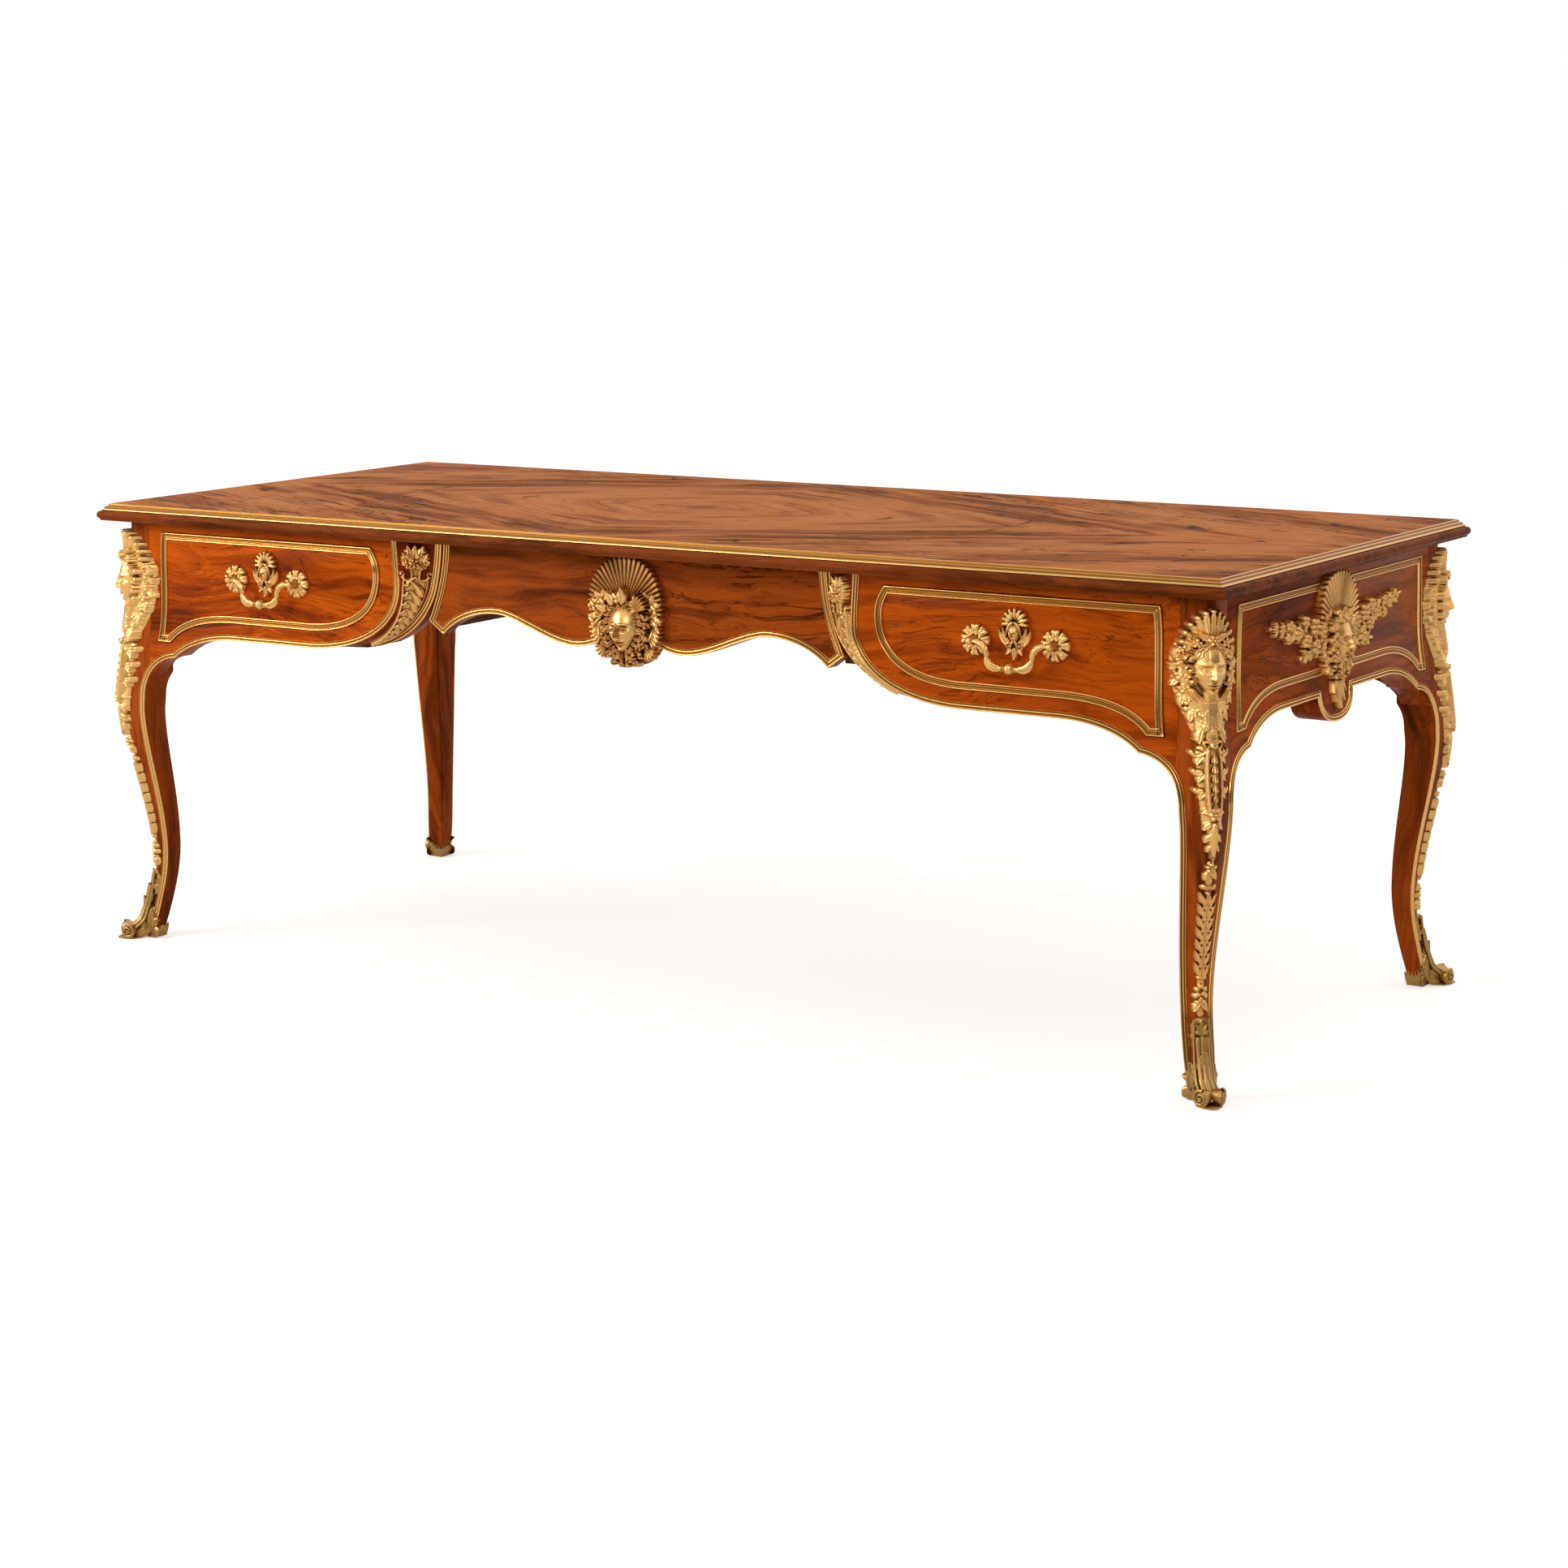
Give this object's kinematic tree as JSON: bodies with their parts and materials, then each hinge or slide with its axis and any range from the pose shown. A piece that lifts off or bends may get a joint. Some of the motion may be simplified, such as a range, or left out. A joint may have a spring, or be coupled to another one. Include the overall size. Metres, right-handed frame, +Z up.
{
  "type": "bureau plat",
  "caption": "Flat-topped writing desk with bombé frieze drawers, a kneehole, cabriole legs and gilt bronze mounts; drawers slide and bail handles swing.",
  "frame": {"origin": "middle of the floor plan, on the floor under the feet", "axes": "+X along the width to the right as seen from the front, +Z up, the front with the working drawers faces -Y"},
  "size_m": [2.19, 0.93, 0.785],
  "materials": {
    "veneered_wood": "polished red-brown veneer",
    "top_veneer": "polished figured veneer",
    "carcase_wood": "stained carcase wood",
    "oak": "plain oak, unpolished",
    "gilt_bronze": "satin gilt, darker in the recesses",
    "band_brass": "polished moulded brass",
    "screw_brass": "dark aged screw heads",
    "lock_steel": "dull steel"
  },
  "bodies": {
    "desk": {"top_board": "carcase_wood", "top_veneer": "top_veneer", "top_edge_moulding": "veneered_wood", "top_brass_band": "band_brass", "leg_front_left": "veneered_wood", "leg_front_right": "veneered_wood", "leg_back_left": "veneered_wood", "leg_back_right": "veneered_wood", "front_frieze_left": "veneered_wood", "front_frieze_right": "veneered_wood", "front_returns": "veneered_wood", "back_frieze_left": "veneered_wood", "back_frieze_right": "veneered_wood", "back_returns": "veneered_wood", "back_apron": "veneered_wood", "end_frieze_left": "veneered_wood", "end_frieze_right": "veneered_wood", "side_panels": "carcase_wood", "top_rails": "oak", "drawer_runners": "oak", "drawer_kickers": "oak", "back_frames": "gilt_bronze", "back_mask": "gilt_bronze", "back_escutcheons": "gilt_bronze", "back_rosettes": "gilt_bronze", "front_trims": "gilt_bronze", "back_trims": "gilt_bronze", "end_trims": "gilt_bronze", "end_mounts": "gilt_bronze", "cornucopias": "gilt_bronze", "corner_mounts": "gilt_bronze", "leg_chains": "gilt_bronze", "sabots": "gilt_bronze", "mount_screws": "screw_brass"},
    "left_drawer": {"left_drawer_front": "veneered_wood", "left_drawer_sides": "oak", "left_drawer_back": "oak", "left_drawer_bottom": "oak", "left_drawer_frame": "gilt_bronze", "left_drawer_escutcheon": "gilt_bronze", "left_drawer_rosettes": "gilt_bronze", "left_drawer_lock": "lock_steel"},
    "left_bail": {"left_drawer_bail": "gilt_bronze"},
    "right_drawer": {"right_drawer_front": "veneered_wood", "right_drawer_sides": "oak", "right_drawer_back": "oak", "right_drawer_bottom": "oak", "right_drawer_frame": "gilt_bronze", "right_drawer_escutcheon": "gilt_bronze", "right_drawer_rosettes": "gilt_bronze", "right_drawer_lock": "lock_steel"},
    "right_bail": {"right_drawer_bail": "gilt_bronze"},
    "centre_drawer": {"centre_drawer_front": "veneered_wood", "centre_drawer_sides": "oak", "centre_drawer_back": "oak", "centre_drawer_bottom": "oak", "centre_drawer_trim": "gilt_bronze", "centre_drawer_mask": "gilt_bronze"},
    "back_left_bail": {"back_bail_left": "gilt_bronze"},
    "back_right_bail": {"back_bail_right": "gilt_bronze"}
  },
  "joints": [
    {"name": "left_drawer_slide", "type": "slide", "parent": "desk", "child": "left_drawer", "axis": [0, -1, 0], "range_m": [0, 0.4]},
    {"name": "right_drawer_slide", "type": "slide", "parent": "desk", "child": "right_drawer", "axis": [0, -1, 0], "range_m": [0, 0.4]},
    {"name": "centre_drawer_slide", "type": "slide", "parent": "desk", "child": "centre_drawer", "axis": [0, -1, 0], "range_m": [0, 0.34]},
    {"name": "left_bail_swing", "type": "hinge", "parent": "left_drawer", "child": "left_bail", "pos_m": [-0.7355, -0.45, 0.666], "axis": [-1, 0, 0], "range_deg": [-12, 110]},
    {"name": "right_bail_swing", "type": "hinge", "parent": "right_drawer", "child": "right_bail", "pos_m": [0.7355, -0.45, 0.666], "axis": [-1, 0, 0], "range_deg": [-12, 110]},
    {"name": "back_left_bail_swing", "type": "hinge", "parent": "desk", "child": "back_left_bail", "pos_m": [-0.7355, 0.45, 0.666], "axis": [1, 0, 0], "range_deg": [-12, 110]},
    {"name": "back_right_bail_swing", "type": "hinge", "parent": "desk", "child": "back_right_bail", "pos_m": [0.7355, 0.45, 0.666], "axis": [1, 0, 0], "range_deg": [-12, 110]}
  ]
}
